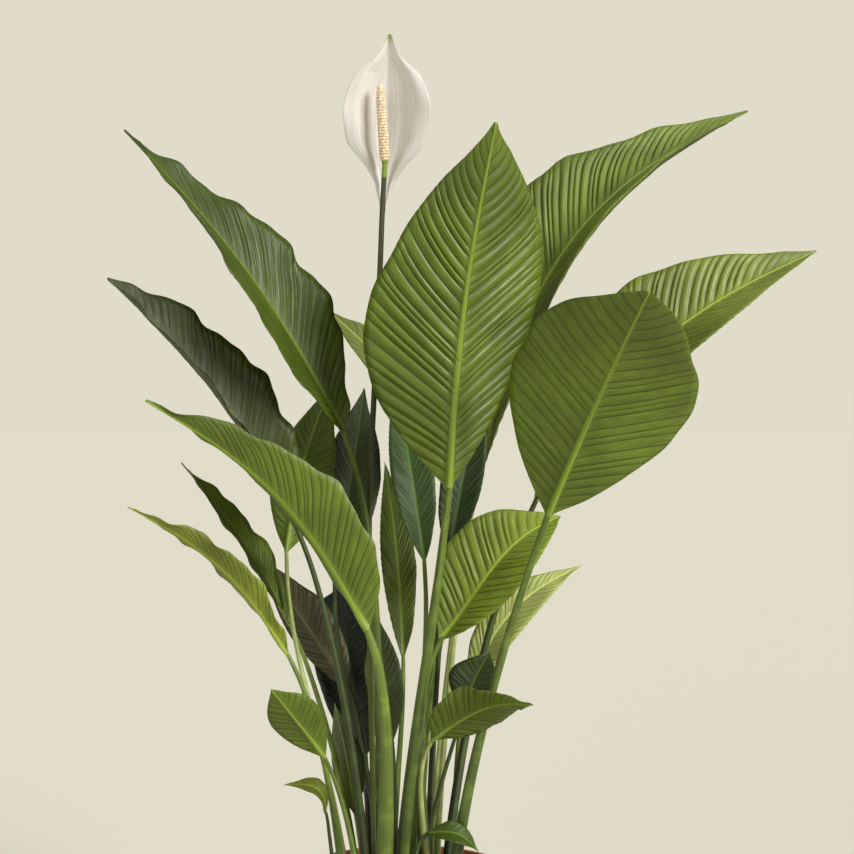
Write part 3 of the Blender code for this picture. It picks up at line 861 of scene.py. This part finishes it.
def floret_material():
    """Cream clouded with peach, dull, with a finely pitted skin."""
    made, tree, shader = shader_of("spadix_cream", linear(226, 204, 170), 0.6)
    mottle = add_mottle(tree, 420.0, 1500.0)
    tint = mix_colours(tree, spread(tree, mottle.outputs["Blotch"], 0.35, 0.65, 0, 1),
                       linear(214, 184, 146), linear(238, 222, 194))
    tree.links.new(tint, shader.inputs["Base Color"])
    bump = add_node(tree, "ShaderNodeBump", Height=mottle.outputs["Grain"], Strength=0.4, Distance=0.0003)
    tree.links.new(bump.outputs["Normal"], shader.inputs["Normal"])
    return made


lengths = np.concatenate([[0], np.cumsum(np.linalg.norm(np.diff(spadix_line, axis=0), axis=1))])
reached = np.linspace(0, 1, core_rings) * lengths[-1]
core_line = np.stack([np.interp(reached, lengths, spadix_line[:, k]) for k in range(3)], axis=1)
stipe_length = lengths[stipe_top]
core_radii = np.interp(reached, lengths, spadix_radii) * np.where(reached > stipe_length, core_share, 1.0)
core = make_tube("spadix_core", core_line, core_radii, round_shape,
                 np.broadcast_to(backward, core_line.shape))
stipe_green = stalk_material("stipe_green", (128, 146, 52), (150, 160, 80))
core.data.materials.append(stipe_green)
core.data.materials.append(floret_material())
for face in core.data.polygons:
    face.material_index = int(face.center.z > spadix_line[stipe_top][2])
bpy.ops.object.shade_smooth()
settle(core, "spadix_core", "spadix", "spadix")

florets = []
axis = unit(spadix_line[-1] - spadix_line[stipe_top])
beside = unit(np.cross(axis, backward))
behind = np.cross(beside, axis)
rows_up = int((lengths[-1] - stipe_length) / step_up)
for level in range(rows_up):
    up = stipe_length + (level + 0.5) * step_up
    centre = np.array([np.interp(up, lengths, spadix_line[:, k]) for k in range(3)])
    radius = np.interp(up, lengths, spadix_radii)
    count = max(int(round(around * radius / spadix_radii.max())), 4)
    for turn in range(count):
        angle = 2 * math.pi * (turn + 0.5 * (level % 2) + 0.11 * level) / count
        out = beside * math.cos(angle) + behind * math.sin(angle)
        start_clean()
        bpy.ops.mesh.primitive_uv_sphere_add(segments=8, ring_count=5, radius=1.0)
        floret = bpy.context.object
        turned = Vector(out).to_track_quat("Z", "Y").to_matrix().to_4x4()
        size = Matrix.Diagonal((*floret_radii, 1))
        seat = Matrix.Translation(Vector(centre + out * (radius - floret_sink)))
        floret.matrix_world = seat @ turned @ size
        florets.append(floret)
start_clean()
for floret in florets:
    floret.select_set(True)
bpy.context.view_layer.objects.active = florets[0]
bpy.ops.object.join()
floret_cover = bpy.context.object
floret_cover.data.materials.append(floret_material())
bpy.ops.object.shade_smooth()
settle(floret_cover, "floret_cover", "spadix")


# ---- Floor, light and camera ----
# A pale seamless floor under soft studio light: a broad key from the upper right in front, a weak fill
# from low on the left in front, and a light from above. The floor's paint is worked out from the light
# that falls on it, to match the backdrop.

backdrop = linear(224, 220, 201)
room_light = 0.15
room_tint = (1, 0.985, 0.95, 1)
lamps = {
    "key_light": ((1.8, -1.4, 1.05), 3.7, 24),
    "fill_light": ((-1.5, -2.0, 0.45), 1.1, 50),
    "top_light": ((-0.3, 0.3, 2.0), 0.6, 60),
}
falling = room_light
for name, (place, strength, softness) in lamps.items():
    data = bpy.data.lights.new(name, "SUN")
    data.energy = strength
    data.angle = math.radians(softness)
    lamp = bpy.data.objects.new(name, data)
    bpy.context.scene.collection.objects.link(lamp)
    lamp.location = place
    lamp.rotation_euler = (-Vector(place)).to_track_quat("-Z", "Y").to_euler()
    falling += strength * Vector(place).normalized().z / math.pi

start_clean()
bpy.ops.mesh.primitive_plane_add(size=400, location=(0, 0, -0.0005))
floor = bpy.context.object
floor.name = "studio_floor"
paint = [share / falling for share in backdrop[:3]]
floor_paint, _, floor_shader = shader_of("studio_floor", (*paint, 1.0), 1.0)
floor_shader.inputs["Specular IOR Level"].default_value = 0.0
floor.data.materials.append(floor_paint)

world = bpy.data.worlds.new("studio")
bpy.context.scene.world = world
world.use_nodes = True
studio = world.node_tree
soft = studio.nodes["Background"]
soft.inputs["Color"].default_value = room_tint
soft.inputs["Strength"].default_value = room_light
seen = add_node(studio, "ShaderNodeBackground", Color=backdrop, Strength=1.0)
rays = add_node(studio, "ShaderNodeLightPath")
chosen = add_node(studio, "ShaderNodeMixShader")
studio.links.new(rays.outputs["Is Camera Ray"], chosen.inputs[0])
studio.links.new(soft.outputs[0], chosen.inputs[1])
studio.links.new(seen.outputs[0], chosen.inputs[2])
studio.links.new(chosen.outputs[0], studio.nodes["World Output"].inputs["Surface"])

camera_data = bpy.data.cameras.new("camera")
camera_data.lens = 70
camera_data.sensor_width = 36
camera = bpy.data.objects.new("camera", camera_data)
bpy.context.scene.collection.objects.link(camera)
camera.location = (0.016, -1.295, 0.497)
camera.rotation_euler = (math.radians(90), 0, 0)
bpy.context.scene.camera = camera
bpy.context.scene.view_settings.view_transform = "Standard"
